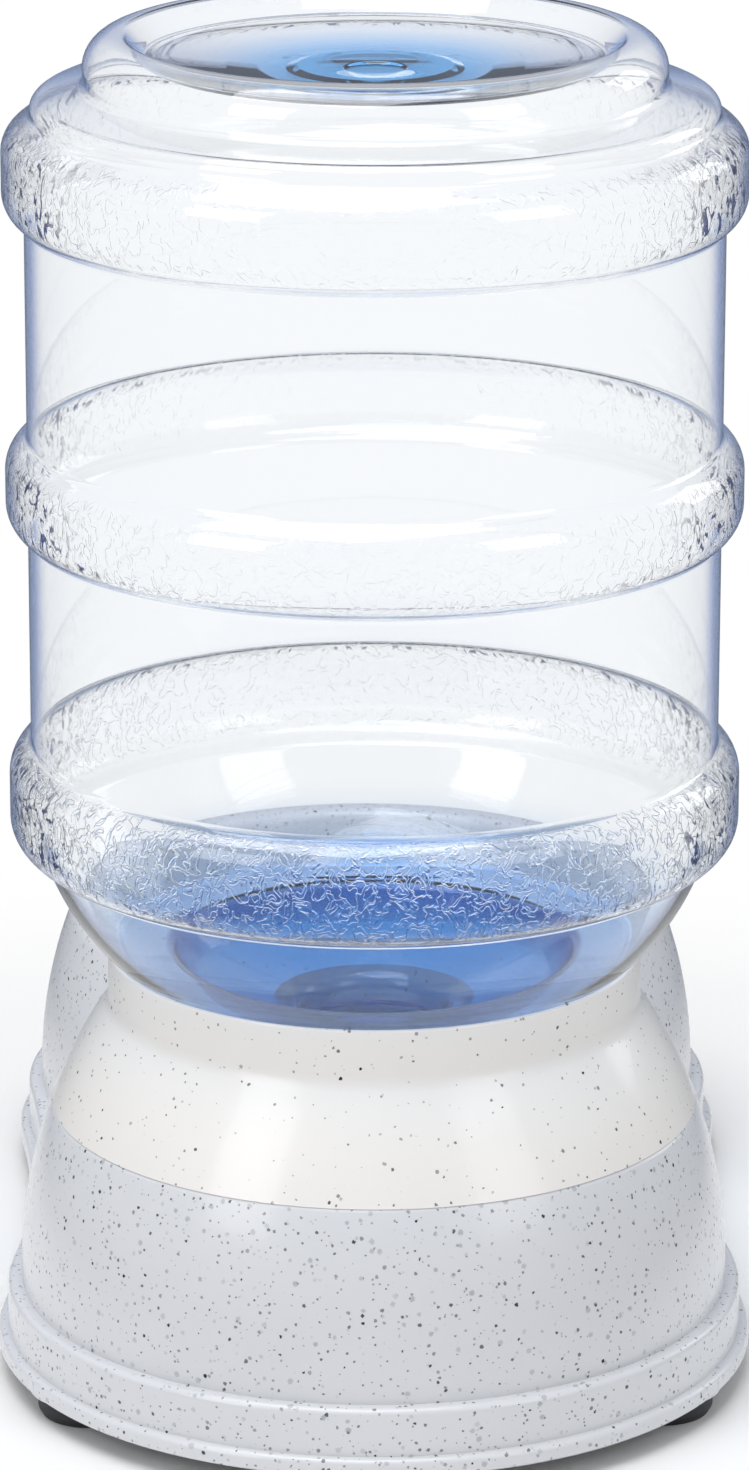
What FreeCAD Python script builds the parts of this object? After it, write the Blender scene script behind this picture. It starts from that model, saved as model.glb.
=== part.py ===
import FreeCAD, Part
import math
import os

os.makedirs("parts", exist_ok=True)

# Gravity pet water dispenser. All lengths are in millimetres.
# The origin is on the floor under the middle of the base. +Z is up, +Y points from the bottle
# towards the open drinking bowl, and the domed bottle seat is the lobe at -Y.

# Base in plan: two equal round lobes, one under the bottle and one around the drinking bowl
lobe_offset = 107.0          # each lobe's centre lies this far from the middle, along Y
wall_radius = 128.2          # widest radius of a lobe's outer wall
wall_bulge = 178.2           # radius of the wall's upright curve
wall_bulge_height = 36.3     # height at which the outer wall is widest
waist_low = 121.0            # half width between the lobes at the foot of the outer wall
waist_high = 85.0            # half width between the lobes at the rim: the hand grips

# Base heights and walls
base_bottom = 8.8            # lower edge of the moulding, held off the floor by the feet
lower_step_top = 15.0
upper_step_top = 32.3
seam_height = 99.8           # where the hood meets the lower moulding
rim_rise = 4.8               # how far the drinking bowl's rim stands above the seam
rim_width = 14.0
rim_outer_round = 8.0
rim_inner_round = 4.0
moulding_wall = 2.6
upper_step_reach = 5.2       # how far the upper step stands out from the lobes' wall
upper_step_waist_reach = 5.0
lower_step_reach = 3.6       # how far the lower step stands out from the upper one
lower_step_waist_reach = 3.5
step_round = 2.4
ledge_cut = 1.0              # how far the cut for the hood's seat runs past the rim's crest
rim_edge_search = 1.0        # margin that tells the basin's edge from the rim's outer one
flatness = 0.01              # how level an edge must be to count as lying at a height
shortest_line = 0.001        # lines shorter than this are left out of an outline
least_turn = 0.001           # bends smaller than this, in radians, are left sharp

# Basin: reservoir under the hood, channel and drinking bowl in one
basin_floor = 38.0
basin_draft = 15.0           # how much narrower the basin is at its floor than at its rim
basin_round = 18.0

# Post that lifts the valve
post_radius = 4.5
post_ribs = 4
post_rib_thickness = 2.4
post_rib_reach = 11.0
post_rib_drop = 12.0         # how far the ribs' tops lie under the post's top
post_rib_slope = 0.8         # share of a rib's reach that slopes down

# Rubber feet
foot_radius = 19.0
foot_bearing = 27.9          # degrees from the X axis, seen from the lobe's centre
foot_edge = 2.6              # between the foot and the edge of the flange
foot_recess = 2.4            # depth of the socket that the foot sits in
foot_round = 2.5
foot_socket_wall = 2.6
foot_plate = 2.6
foot_clearance = 0.25
stud_radius = 3.6
stud_length = 7.0
stud_clearance = 0.1
foot_taper = 1.5             # how much narrower the foot is where it meets the floor
stud_round = 1.2

# Bottle, which stands on its neck
bottle_wall = 1.3
neck_radius = 27.5
neck_lip = 90.4
neck_top = 130.6             # where the neck turns out into the shoulder
neck_turn = 5.0
least_round = 0.2            # the sharpest bend of the bottle's inner face
shoulder_corner_radius = 99.9
shoulder_corner_height = 144.8
shoulder_bend = 91.0
shoulder_top_radius = 118.9
waist_radius = 122.3
rib_radius = 130.0
rib_lead = 5.0               # height over which a rib's flank rises
rib_round = 12.0
rib_crease = 2.6
lower_rib = (196.4, 236.0)
middle_rib = (313.0, 347.3)
top_rib = (424.2, 461.6)
top_rib_fall = 6.6
top_rib_round = 11.0
step_ring_radius = 120.0
step_ring_top = 467.6
step_ring_round = 5.0
rim_notch_radius = 101.4
rim_notch_height = 471.8
bottle_rim_radius = 102.0
bottle_top = 489.8
bottle_rim_round = 12.0
bottle_rim_inner = 87.0
sunk_ring_radius = 79.0
sunk_ring_height = 481.6
sunk_disc_height = 477.6
dimple_ring_radius = 31.0
dimple_ring_rise = 0.9
dimple_radius = 10.0
dimple_depth = 1.1
pad_radius = 46.0            # thicker middle of the blown base, where the plastic was gated
pad_depth = 2.2
pad_edge = 0.6               # how far the pad's thin edge sinks into the disc
bottle_rim_inner_round = 3.0
sunk_ring_round = 8.0
dimple_round = 2.0
dimple_slope = 4.0           # width of the little ring's inner slope

# Neck bead that the cap turns against
bead_height = 117.2
bead_reach = 2.6
bead_half = 1.6
bead_round = 0.5

# Hood
collar_top = 158.4
collar_radius = 95.8
collar_round = 1.0
collar_fillet = 10.0
seat_gap = 0.3               # between the bottle's shoulder and its seat in the hood
well_gap = 5.8               # between the cap and the well round it
well_lap = 0.6               # how far the well reaches down past the cap's open edge
spigot_depth = 7.0
spigot_gap = 0.5
ledge_gap = 0.4              # between the hood's edge and the rim beside it
apron_bottom = 56.0
apron_gap = 0.7
arch_radius = 70.0
arch_top = 72.0

# Cap, gasket and valve
cap_wall = 2.4
cap_skirt = 3.4              # thickness of the cap's side
cap_bead_gap = 0.4           # between the cap and the foot of the neck's bead
cap_chamfer = 1.5
cap_edge_round = 0.6
cap_grip_start = 3.0         # above the cap's end, and as far again from its open edge
cap_grips = 20
cap_grip_reach = 0.9
cap_grip_width = 2.2
thread_gap = 0.3
outlet_radius = 9.5
gasket_inner = 20.5
gasket_thickness = 1.8
seal_lift = 4.0              # how far the post holds the valve open
seal_thickness = 2.0
seal_inner = 5.0
seal_overlap = 2.9           # how far the seal covers the cap's floor round the outlet
poppet_overhang = 0.4        # how far the poppet stands out past the seal
poppet_thickness = 2.4
stem_radius = 3.4
guide_radius = 3.0
guide_gap = 0.06
stem_rise = 4.0              # how far the stem stands above the cage
stem_round = 1.0
plunger_reach = 6.0          # how far the plunger stands out of the cap
seal_lip = 1.4               # the lip that holds the seal on, and its thickness
seal_lip_thickness = 0.8
poppet_round = 0.8
cage_gap = 0.8               # between the poppet and the cage round it
cage_wall = 2.8
cage_foot_gap = 0.9          # between the cage's foot and the gasket
cage_foot_height = 2.4
cage_height = 30.0
cage_lid = 2.4
cage_legs = 4
cage_leg_width = 4.0
spring_radius = 6.4
spring_wire = 0.6
spring_turns = 4.5
spring_end_gap = 0.1

# Sections used for the lofted walls
wall_sections = 5

# Places and sizes that follow from the ones above
rim_height = seam_height + rim_rise
upper_step_radius = wall_radius + upper_step_reach
upper_step_waist = waist_low + upper_step_waist_reach
lower_step_radius = upper_step_radius + lower_step_reach
lower_step_waist = upper_step_waist + lower_step_waist_reach
foot_distance = lower_step_radius - foot_edge - foot_radius
foot_x = foot_distance * math.cos(math.radians(foot_bearing))
foot_y = foot_distance * math.sin(math.radians(foot_bearing))
cap_inside = neck_lip - gasket_thickness
cap_floor = cap_inside - cap_wall
cap_radius = neck_radius + thread_gap + cap_skirt
cap_skirt_top = bead_height - bead_half - bead_reach - cap_bead_gap
well_radius = cap_radius + well_gap
well_bottom = cap_skirt_top - well_lap
seal_outer = outlet_radius + seal_overlap
poppet_radius = seal_outer + poppet_overhang
cage_inner = poppet_radius + cage_gap
cage_outer = cage_inner + cage_wall
cage_foot = gasket_inner - cage_foot_gap
cage_top = cap_inside + cage_height
seal_bottom = cap_inside + seal_lift
poppet_bottom = seal_bottom + seal_thickness
poppet_top = poppet_bottom + poppet_thickness
plunger_bottom = cap_floor - plunger_reach


def point(x, y, z):
    return FreeCAD.Vector(x, y, z)


# Profiles

def rounded_path(corners):
    # A run of lines through the corners (radius, height, rounding) with tangent arcs at them
    edges = []
    start = point(corners[0][0], 0, corners[0][1])
    for before, here, after in zip(corners, corners[1:], corners[2:]):
        corner = point(here[0], 0, here[1])
        incoming = (corner - point(before[0], 0, before[1])).normalize()
        outgoing = (point(after[0], 0, after[1]) - corner).normalize()
        turn = incoming.getAngle(outgoing)
        if here[2] <= 0 or turn < least_turn:
            edges.append(Part.LineSegment(start, corner).toShape())
            start = corner
            continue
        reach = here[2] * math.tan(turn / 2)
        arc_start = corner - incoming * reach
        arc_end = corner + outgoing * reach
        inward = (outgoing - incoming).normalize()
        middle = corner + inward * (here[2] / math.cos(turn / 2) - here[2])
        if (arc_start - start).Length > shortest_line:
            edges.append(Part.LineSegment(start, arc_start).toShape())
        edges.append(Part.Arc(arc_start, middle, arc_end).toShape())
        start = arc_end
    end = point(corners[-1][0], 0, corners[-1][1])
    edges.append(Part.LineSegment(start, end).toShape())
    return edges


def offset_corners(corners, distance):
    # The same run moved to its left by the distance, with each rounding grown or shrunk to suit
    moved = []
    count = len(corners)
    for index, (radius, height, rounding) in enumerate(corners):
        normals = []
        directions = []
        for a, b in ((index - 1, index), (index, index + 1)):
            if a < 0 or b >= count:
                continue
            along = (corners[b][0] - corners[a][0], corners[b][1] - corners[a][1])
            length = math.hypot(*along)
            directions.append((along[0] / length, along[1] / length))
            normals.append((-along[1] / length, along[0] / length))
        if len(normals) == 1:
            normals.append(normals[0])
            directions.append(directions[0])
        spread = 1 + normals[0][0] * normals[1][0] + normals[0][1] * normals[1][1]
        shift_r = distance * (normals[0][0] + normals[1][0]) / spread
        shift_z = distance * (normals[0][1] + normals[1][1]) / spread
        turns_left = directions[0][0] * directions[1][1] - directions[0][1] * directions[1][0] > 0
        if rounding > 0:
            rounding = max(rounding - distance if turns_left else rounding + distance,
                           least_round)
        moved.append((radius + shift_r, height + shift_z, rounding))
    return moved


def revolved(edges):
    face = Part.Face(Part.Wire(Part.__sortEdges__(edges)))
    solid = face.revolve(point(0, 0, 0), point(0, 0, 1), 360)
    return solid


def filled_revolve(corners):
    # A solid of revolution between the run of corners and the axis
    edges = rounded_path(corners)
    first = point(corners[0][0], 0, corners[0][1])
    last = point(corners[-1][0], 0, corners[-1][1])
    low = point(0, 0, corners[0][1])
    high = point(0, 0, corners[-1][1])
    if (first - low).Length > shortest_line:
        edges.append(Part.LineSegment(low, first).toShape())
    if (last - high).Length > shortest_line:
        edges.append(Part.LineSegment(last, high).toShape())
    edges.append(Part.LineSegment(high, low).toShape())
    return revolved(edges)


def ring(inner, outer, low, high):
    return filled_revolve([(outer, low, 0), (outer, high, 0)]).cut(
        filled_revolve([(inner, low, 0), (inner, high, 0)]))


def disc(radius, low, high):
    return Part.makeCylinder(radius, high - low, point(0, 0, low))


def on_lobe(shape, side):
    # side is -1 for the bottle's lobe and +1 for the drinking bowl's
    moved = shape.copy()
    moved.translate(point(0, side * lobe_offset, 0))
    return moved


def largest_solid(shape):
    return max(shape.Solids, key=lambda solid: solid.Volume)


# Outer wall of the base and its plan at each height

def wall_at(height):
    rise = height - wall_bulge_height
    return wall_radius - wall_bulge + math.sqrt(wall_bulge ** 2 - rise ** 2)


def waist_at(height):
    share = max(0.0, (rim_height - height) / (rim_height - upper_step_top))
    return waist_high + (waist_low - waist_high) * share ** 2


def plan(radius, waist, height):
    # Two lobes joined by hollow curves that meet them without a corner
    hollow = (waist ** 2 + lobe_offset ** 2 - radius ** 2) / (2 * (radius - waist))
    touch_x = radius * (waist + hollow) / (radius + hollow)
    touch_y = lobe_offset - radius * lobe_offset / (radius + hollow)
    ends = [point(-touch_x, -touch_y, height), point(touch_x, -touch_y, height),
            point(touch_x, touch_y, height), point(-touch_x, touch_y, height)]
    tips = [point(0, -lobe_offset - radius, height), point(waist, 0, height),
            point(0, lobe_offset + radius, height), point(-waist, 0, height)]
    edges = []
    for index, tip in enumerate(tips):
        arc = Part.Arc(ends[index], tip, ends[(index + 1) % len(ends)])
        edges.append(arc.toShape())
    return Part.Wire(edges)


def plan_block(radius, waist, low, high, rounding):
    block = Part.Face(plan(radius, waist, low)).extrude(point(0, 0, high - low))
    return rounded_top(block, high, rounding) if rounding > 0 else block


def edges_at(shape, height):
    return [edge for edge in shape.Edges
            if abs(edge.BoundBox.ZMin - height) < flatness
            and abs(edge.BoundBox.ZMax - height) < flatness]


def rounded_top(shape, height, rounding):
    return shape.makeFillet(rounding, edges_at(shape, height))


def wall_loft(inset, low, high):
    wires = []
    for index in range(wall_sections):
        height = low + (high - low) * index / (wall_sections - 1)
        wires.append(plan(wall_at(height) - inset, waist_at(height) - inset, height))
    return Part.makeLoft(wires, True, False)


def basin_loft(outset, low, high):
    # The basin's space. A wall's thickness as outset gives the skin that holds it.
    rim_inside = wall_at(rim_height) - rim_width
    waist_inside = waist_high - rim_width
    wires = []
    for height in (low, high):
        draft = basin_draft * (rim_height - height) / (rim_height - basin_floor)
        wires.append(plan(rim_inside - draft + outset, waist_inside - draft + outset, height))
    block = Part.makeLoft(wires, True, True)
    return block.makeFillet(basin_round + outset, edges_at(block, low))


# Lower moulding

def foot_centres():
    places = []
    for side in (-1, 1):
        for x in (-foot_x, foot_x):
            places.append(point(x, side * (lobe_offset + foot_y), 0))
    return places


def foot_socket(centre):
    low = base_bottom
    plate_low = base_bottom + foot_recess
    outer = foot_radius + foot_clearance + foot_socket_wall
    socket = disc(outer, low, plate_low + foot_plate)
    socket = socket.cut(disc(foot_radius + foot_clearance, low, plate_low))
    socket = socket.cut(disc(stud_radius + stud_clearance, plate_low, plate_low + foot_plate))
    socket.translate(centre)
    return socket


def valve_post():
    top = plunger_bottom
    post = disc(post_radius, basin_floor - moulding_wall, top)
    for turn in range(post_ribs):
        rib = Part.makeBox(post_radius + post_rib_reach, post_rib_thickness,
                           top - post_rib_drop - basin_floor + moulding_wall,
                           point(0, -post_rib_thickness / 2, basin_floor - moulding_wall))
        outer_top = [edge for edge in edges_at(rib, top - post_rib_drop)
                     if edge.BoundBox.XMin > post_radius + post_rib_reach - flatness]
        rib = rib.makeChamfer(post_rib_reach * post_rib_slope, outer_top)
        rib.rotate(point(0, 0, 0), point(0, 0, 1), 360 * turn / post_ribs)
        post = post.fuse(rib)
    return on_lobe(post.removeSplitter(), -1)


def bowl_base():
    outer = rounded_top(wall_loft(0, upper_step_top - moulding_wall, rim_height),
                        rim_height, rim_outer_round)
    lower_step = plan_block(lower_step_radius, lower_step_waist, base_bottom, lower_step_top,
                            step_round)
    upper_step = plan_block(upper_step_radius, upper_step_waist, base_bottom, upper_step_top,
                            step_round)
    body = outer.fuse([lower_step, upper_step])

    # the hollow underneath, between the skirt and the basin
    skirt_hollow = plan_block(upper_step_radius - moulding_wall, upper_step_waist - moulding_wall,
                              base_bottom, upper_step_top - moulding_wall, 0)
    crown = rim_height - rim_outer_round - moulding_wall / 2
    wall_hollow = wall_loft(moulding_wall, upper_step_top - 2 * moulding_wall, crown)
    hollow = skirt_hollow.fuse(wall_hollow)
    hollow = hollow.cut(basin_loft(moulding_wall, basin_floor - moulding_wall, rim_height))
    body = body.cut(hollow)

    basin = basin_loft(0, basin_floor, rim_height)
    body = body.cut(basin)
    mouth = Part.Face(plan(wall_at(rim_height) - rim_width + rim_edge_search,
                           waist_high - rim_width + rim_edge_search, rim_height))
    inner_rim = [edge for edge in edges_at(body, rim_height)
                 if mouth.isInside(edge.valueAt(edge.getParameterByLength(edge.Length / 2)),
                                   flatness, True)]
    body = body.makeFillet(rim_inner_round, inner_rim)

    # the hood stands on a ledge that is cut into the bottle's lobe
    ledge = disc(wall_at(seam_height) + ledge_gap, seam_height, rim_height + ledge_cut)
    body = body.cut(on_lobe(ledge, -1))

    sockets = [foot_socket(centre) for centre in foot_centres()]
    holes = []
    for centre in foot_centres():
        hole = disc(foot_radius + foot_clearance, base_bottom, base_bottom + foot_recess)
        hole.translate(centre)
        holes.append(hole)
    body = body.fuse(sockets).cut(holes)
    body = body.fuse(valve_post())
    return largest_solid(body)


# Bottle

def rib_corners(span):
    low, high = span
    return [(waist_radius, low, rib_crease), (rib_radius, low + rib_lead, rib_round),
            (rib_radius, high - rib_lead, rib_round), (waist_radius, high, rib_crease)]


def bottle_corners():
    lower = rib_corners(lower_rib)
    lower[0] = (shoulder_top_radius, lower_rib[0], rib_crease)
    top = rib_corners(top_rib)
    top[2] = (rib_radius, top_rib[1] - top_rib_fall, top_rib_round)
    top[3] = (step_ring_radius, top_rib[1], rib_crease)
    disc_height = sunk_disc_height
    return ([(neck_radius, neck_lip, 0), (neck_radius, neck_top, neck_turn),
             (shoulder_corner_radius, shoulder_corner_height, shoulder_bend)]
            + lower + rib_corners(middle_rib) + top
            + [(step_ring_radius, step_ring_top, step_ring_round),
               (rim_notch_radius, rim_notch_height, rib_crease),
               (bottle_rim_radius, bottle_top, bottle_rim_round),
               (bottle_rim_inner, bottle_top, bottle_rim_inner_round),
               (sunk_ring_radius, sunk_ring_height, sunk_ring_round),
               (dimple_ring_radius, disc_height, dimple_round),
               (dimple_ring_radius - dimple_slope, disc_height + dimple_ring_rise, dimple_round),
               (dimple_radius + dimple_depth, disc_height, dimple_depth),
               (dimple_radius, disc_height - dimple_depth, dimple_depth),
               (0, disc_height - dimple_depth, 0)])


def bottle():
    outside = bottle_corners()
    inside = offset_corners(outside, bottle_wall)
    edges = rounded_path(outside) + rounded_path(inside)
    for a, b in ((outside[0], inside[0]), (outside[-1], inside[-1])):
        edges.append(Part.LineSegment(point(a[0], 0, a[1]), point(b[0], 0, b[1])).toShape())
    shell = revolved(edges)
    pad_top = sunk_disc_height - dimple_depth - bottle_wall + pad_edge
    pad = filled_revolve([(dimple_radius, pad_top - pad_depth, 0),
                          (pad_radius, pad_top + dimple_depth, 0),
                          (dimple_ring_radius, pad_top + dimple_depth, 0),
                          (dimple_radius, pad_top, 0)])
    bead = filled_revolve([(neck_radius - bottle_wall / 2, bead_height - bead_half - bead_reach, 0),
                           (neck_radius + bead_reach, bead_height - bead_half, bead_round),
                           (neck_radius + bead_reach, bead_height + bead_half, bead_round),
                           (neck_radius - bottle_wall / 2,
                            bead_height + bead_half + bead_reach, 0)])
    bead = bead.cut(disc(neck_radius - bottle_wall / 2, neck_lip, neck_top))
    return on_lobe(largest_solid(shell.fuse([pad, bead])), -1)


# Hood

def bottle_form(outset):
    # The lower part of the bottle's outside, grown by the outset
    corners = offset_corners(bottle_corners(), -outset)
    return filled_revolve(corners[:4] + [(corners[3][0], lower_rib[1], 0)])


def dome_form(inset):
    # The hood's outside, shrunk by the inset
    radius = wall_bulge - inset
    centre_r = wall_radius - wall_bulge
    neck = collar_radius - inset
    fillet = collar_fillet + inset
    # centre of the hollow curve that joins the dome to the collar
    fillet_r = neck + fillet
    fillet_z = wall_bulge_height + math.sqrt((radius + fillet) ** 2 - (fillet_r - centre_r) ** 2)
    foot_r = centre_r + math.sqrt(radius ** 2 - (seam_height - wall_bulge_height) ** 2)
    dome_foot = point(foot_r, 0, seam_height)
    dome_end_angle = math.atan2(fillet_z - wall_bulge_height, fillet_r - centre_r)
    dome_end = point(centre_r + radius * math.cos(dome_end_angle), 0,
                     wall_bulge_height + radius * math.sin(dome_end_angle))
    foot_angle = math.asin((seam_height - wall_bulge_height) / radius)
    middle_angle = (foot_angle + dome_end_angle) / 2
    dome_middle = point(centre_r + radius * math.cos(middle_angle), 0,
                        wall_bulge_height + radius * math.sin(middle_angle))
    fillet_end = point(neck, 0, fillet_z)
    fillet_middle = point(fillet_r + fillet * math.cos(math.pi + dome_end_angle / 2), 0,
                          fillet_z + fillet * math.sin(math.pi + dome_end_angle / 2))
    top = collar_top - inset
    edges = [Part.Arc(dome_foot, dome_middle, dome_end).toShape(),
             Part.Arc(dome_end, fillet_middle, fillet_end).toShape(),
             Part.LineSegment(fillet_end, point(neck, 0, top)).toShape(),
             Part.LineSegment(point(neck, 0, top), point(0, 0, top)).toShape(),
             Part.LineSegment(point(0, 0, top), point(0, 0, seam_height)).toShape(),
             Part.LineSegment(point(0, 0, seam_height), dome_foot).toShape()]
    return revolved(edges)


def apron():
    # The part of the dome that reaches down into the channel, with an arch for the water
    shells = []
    for inset in (0, moulding_wall):
        shells.append(Part.makeLoft([
            Part.Wire(Part.makeCircle(wall_at(height) - inset, point(0, 0, height)))
            for height in (apron_bottom, (apron_bottom + seam_height) / 2, seam_height)],
            True, False))
    skin = on_lobe(shells[0].cut(shells[1]), -1)
    skin = skin.common(basin_loft(-apron_gap, basin_floor + apron_gap, rim_height))
    arch = Part.makeCylinder(arch_radius, 2 * lobe_offset,
                             point(0, -lobe_offset / 2, arch_top - arch_radius), point(0, 1, 0))
    return skin.cut(arch)


def hood():
    outer = dome_form(0)
    outer = outer.makeFillet(collar_round, edges_at(outer, collar_top))
    seat = bottle_form(seat_gap).fuse(disc(well_radius, seam_height, neck_top + neck_turn))
    funnel = bottle_form(seat_gap + moulding_wall).fuse(
        disc(well_radius + moulding_wall, well_bottom, neck_top + neck_turn))
    funnel = funnel.cut(disc(2 * well_radius, neck_lip - 2 * moulding_wall, well_bottom))
    hollow = dome_form(moulding_wall).cut(funnel)
    shell = outer.cut(hollow).cut(seat)

    spigot_outer = wall_at(rim_height) - rim_width - spigot_gap - basin_draft * (
        spigot_depth + rim_height - seam_height) / (rim_height - basin_floor)
    spigot_inner = spigot_outer - moulding_wall
    web = ring(spigot_inner, wall_at(seam_height) - moulding_wall / 2, seam_height,
               seam_height + moulding_wall)
    spigot = ring(spigot_inner, spigot_outer, seam_height - spigot_depth, seam_height)
    solid = on_lobe(shell.fuse([web, spigot]), -1).fuse(apron())
    return largest_solid(solid)


# Feet

def foot(centre):
    top = base_bottom + foot_recess
    pad = filled_revolve([(foot_radius - foot_taper, 0, 0), (foot_radius, foot_round, foot_round),
                          (foot_radius, top, 0)])
    stud_top = top + stud_length
    stud = filled_revolve([(stud_radius, top, 0), (stud_radius, stud_top, stud_round),
                           (0, stud_top, 0)])
    solid = pad.fuse(stud)
    solid.translate(centre)
    return largest_solid(solid)


# Cap and valve, all on the bottle's axis

def bottle_cap():
    body = filled_revolve([(cap_radius - cap_chamfer, cap_floor, 0),
                           (cap_radius, cap_floor + cap_chamfer, cap_edge_round),
                           (cap_radius, cap_skirt_top, 0)])
    body = body.cut(disc(neck_radius + thread_gap, cap_inside, cap_skirt_top))
    body = body.cut(disc(outlet_radius, cap_floor, cap_inside))
    grips = []
    for index in range(cap_grips):
        grip = Part.makeBox(cap_grip_reach + cap_wall / 2, cap_grip_width,
                            cap_skirt_top - cap_floor - 2 * cap_grip_start,
                            point(cap_radius - cap_wall / 2, -cap_grip_width / 2,
                                  cap_floor + cap_grip_start))
        grip.rotate(point(0, 0, 0), point(0, 0, 1), 360 * index / cap_grips)
        grips.append(grip)
    return on_lobe(largest_solid(body.fuse(grips)), -1)


def cap_gasket():
    return on_lobe(ring(gasket_inner, neck_radius, cap_inside, neck_lip), -1)


def spring_retainer():
    base = ring(cage_inner, cage_foot, cap_inside, cap_inside + cage_foot_height)
    lid = ring(guide_radius + guide_gap, cage_outer, cage_top - cage_lid, cage_top)
    cage = base.fuse(lid)
    tube = ring(cage_inner, cage_outer, cap_inside, cage_top)
    for index in range(cage_legs):
        wedge = Part.makeBox(2 * cage_outer, cage_leg_width, cage_top - cap_inside,
                             point(0, -cage_leg_width / 2, cap_inside))
        leg = tube.common(wedge)
        leg.rotate(point(0, 0, 0), point(0, 0, 1), 360 * index / cage_legs)
        cage = cage.fuse(leg)
    return on_lobe(largest_solid(cage), -1)


def valve_plunger():
    lip_low = seal_bottom - seal_lip_thickness
    lip_radius = seal_inner + seal_lip
    body = filled_revolve([(stem_radius, plunger_bottom, 0), (stem_radius, lip_low, 0),
                           (lip_radius, lip_low, 0), (lip_radius, seal_bottom, 0),
                           (seal_inner, seal_bottom, 0), (seal_inner, poppet_bottom, 0),
                           (poppet_radius, poppet_bottom, 0),
                           (poppet_radius, poppet_top, poppet_round),
                           (guide_radius, poppet_top, 0),
                           (guide_radius, cage_top + stem_rise, stem_round),
                           (0, cage_top + stem_rise, 0)])
    return on_lobe(largest_solid(body), -1)


def valve_seal():
    return on_lobe(ring(seal_inner, seal_outer, seal_bottom, poppet_bottom), -1)


def valve_spring():
    low = poppet_top + spring_wire + spring_end_gap
    high = cage_top - cage_lid - spring_wire - spring_end_gap
    helix = Part.makeHelix((high - low) / spring_turns, high - low, spring_radius)
    helix.translate(point(0, 0, low))
    section = Part.Wire(Part.makeCircle(spring_wire, point(spring_radius, 0, low),
                                        point(0, 1, 0)))
    coil = Part.Wire(helix).makePipeShell([section], True, True)
    return on_lobe(coil, -1)


# Every piece goes to a file of its own name

pieces = {
    "bowl_base": bowl_base(),
    "hood": hood(),
    "bottle": bottle(),
    "bottle_cap": bottle_cap(),
    "cap_gasket": cap_gasket(),
    "spring_retainer": spring_retainer(),
    "valve_plunger": valve_plunger(),
    "valve_seal": valve_seal(),
    "valve_spring": valve_spring(),
}
foot_names = ("foot_rear_left", "foot_rear_right", "foot_front_left", "foot_front_right")
for name, centre in zip(foot_names, foot_centres()):
    pieces[name] = foot(centre)

for name, shape in pieces.items():
    shape.exportStep(os.path.join("parts", name + ".step"))
    print(name, len(shape.Solids), "solid,", round(shape.Volume), "cubic mm, valid:", shape.isValid())
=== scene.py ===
import math

import bmesh
import bpy
from mathutils import Matrix, Vector
from mathutils.bvhtree import BVHTree


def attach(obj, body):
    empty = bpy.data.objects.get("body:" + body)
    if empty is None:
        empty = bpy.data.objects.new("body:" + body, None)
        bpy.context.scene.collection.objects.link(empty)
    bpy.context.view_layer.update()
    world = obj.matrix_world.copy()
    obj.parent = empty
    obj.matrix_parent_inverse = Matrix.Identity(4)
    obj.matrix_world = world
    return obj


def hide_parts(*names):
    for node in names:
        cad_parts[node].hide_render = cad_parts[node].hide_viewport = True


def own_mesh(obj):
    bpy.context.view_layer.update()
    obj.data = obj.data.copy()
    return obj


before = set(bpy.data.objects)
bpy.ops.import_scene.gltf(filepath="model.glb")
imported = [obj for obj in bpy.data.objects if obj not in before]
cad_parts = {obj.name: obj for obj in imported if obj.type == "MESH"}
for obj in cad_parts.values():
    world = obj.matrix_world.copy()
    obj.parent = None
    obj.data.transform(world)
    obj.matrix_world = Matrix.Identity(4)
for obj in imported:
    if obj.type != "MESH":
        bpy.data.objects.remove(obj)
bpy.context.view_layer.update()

scene = bpy.context.scene
mm = 0.001


# Sizes that several pieces share, in millimetres
lobeOffset = 107          # each lobe's centre lies this far from the middle, along Y
bottleY = -lobeOffset
wallCurve = {
    "radius": 128.2,      # widest radius of a lobe
    "bulge": 178.2,       # radius of the upright curve
    "height": 36.3,       # height of the widest place
    "thickness": 2.6,
}
seam = {
    "height": 99.8,       # where the hood stands on the base
    "chamfer": 0.45,      # the broken edge on each side of the line
}


# Nodes and meshes

def feed(tree, made, inputs):
    # Each input is linked to a socket or set to a value
    for key, value in inputs.items():
        if isinstance(value, bpy.types.NodeSocket):
            tree.links.new(value, made.inputs[key])
        else:
            made.inputs[key].default_value = value


def node(tree, kind, inputs=None, **settings):
    made = tree.nodes.new(kind)
    for key, value in settings.items():
        setattr(made, key, value)
    feed(tree, made, inputs or {})
    return made


def maths(tree, operation, first, second=0.0, third=0.0, clamp=False):
    values = {0: first, 1: second, 2: third}
    made = node(tree, "ShaderNodeMath", values, operation=operation, use_clamp=clamp)
    return made.outputs[0]


def vectorMaths(tree, operation, first, second=None):
    # Of one vector, of two, or of a vector and the number that scales it
    made = node(tree, "ShaderNodeVectorMath", {0: first}, operation=operation)
    if second is not None:
        feed(tree, made, {"Scale" if operation == "SCALE" else 1: second})
    return made.outputs["Value" if operation == "LENGTH" else "Vector"]


def ramp(tree, value, low, high, start=0.0, end=1.0, smooth=True):
    # The value's way from low to high, as a share from start to end
    kind = "SMOOTHSTEP" if smooth else "LINEAR"
    made = node(tree, "ShaderNodeMapRange",
                {"Value": value, "From Min": low, "From Max": high, "To Min": start, "To Max": end},
                interpolation_type=kind)
    return made.outputs["Result"]


def mixValues(tree, share, first, second):
    return node(tree, "ShaderNodeMix", {0: share, 2: first, 3: second}).outputs[0]


def blendColor(tree, share, first, second):
    made = node(tree, "ShaderNodeMix", {0: share, 6: first, 7: second}, data_type="RGBA")
    return made.outputs[2]


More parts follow.
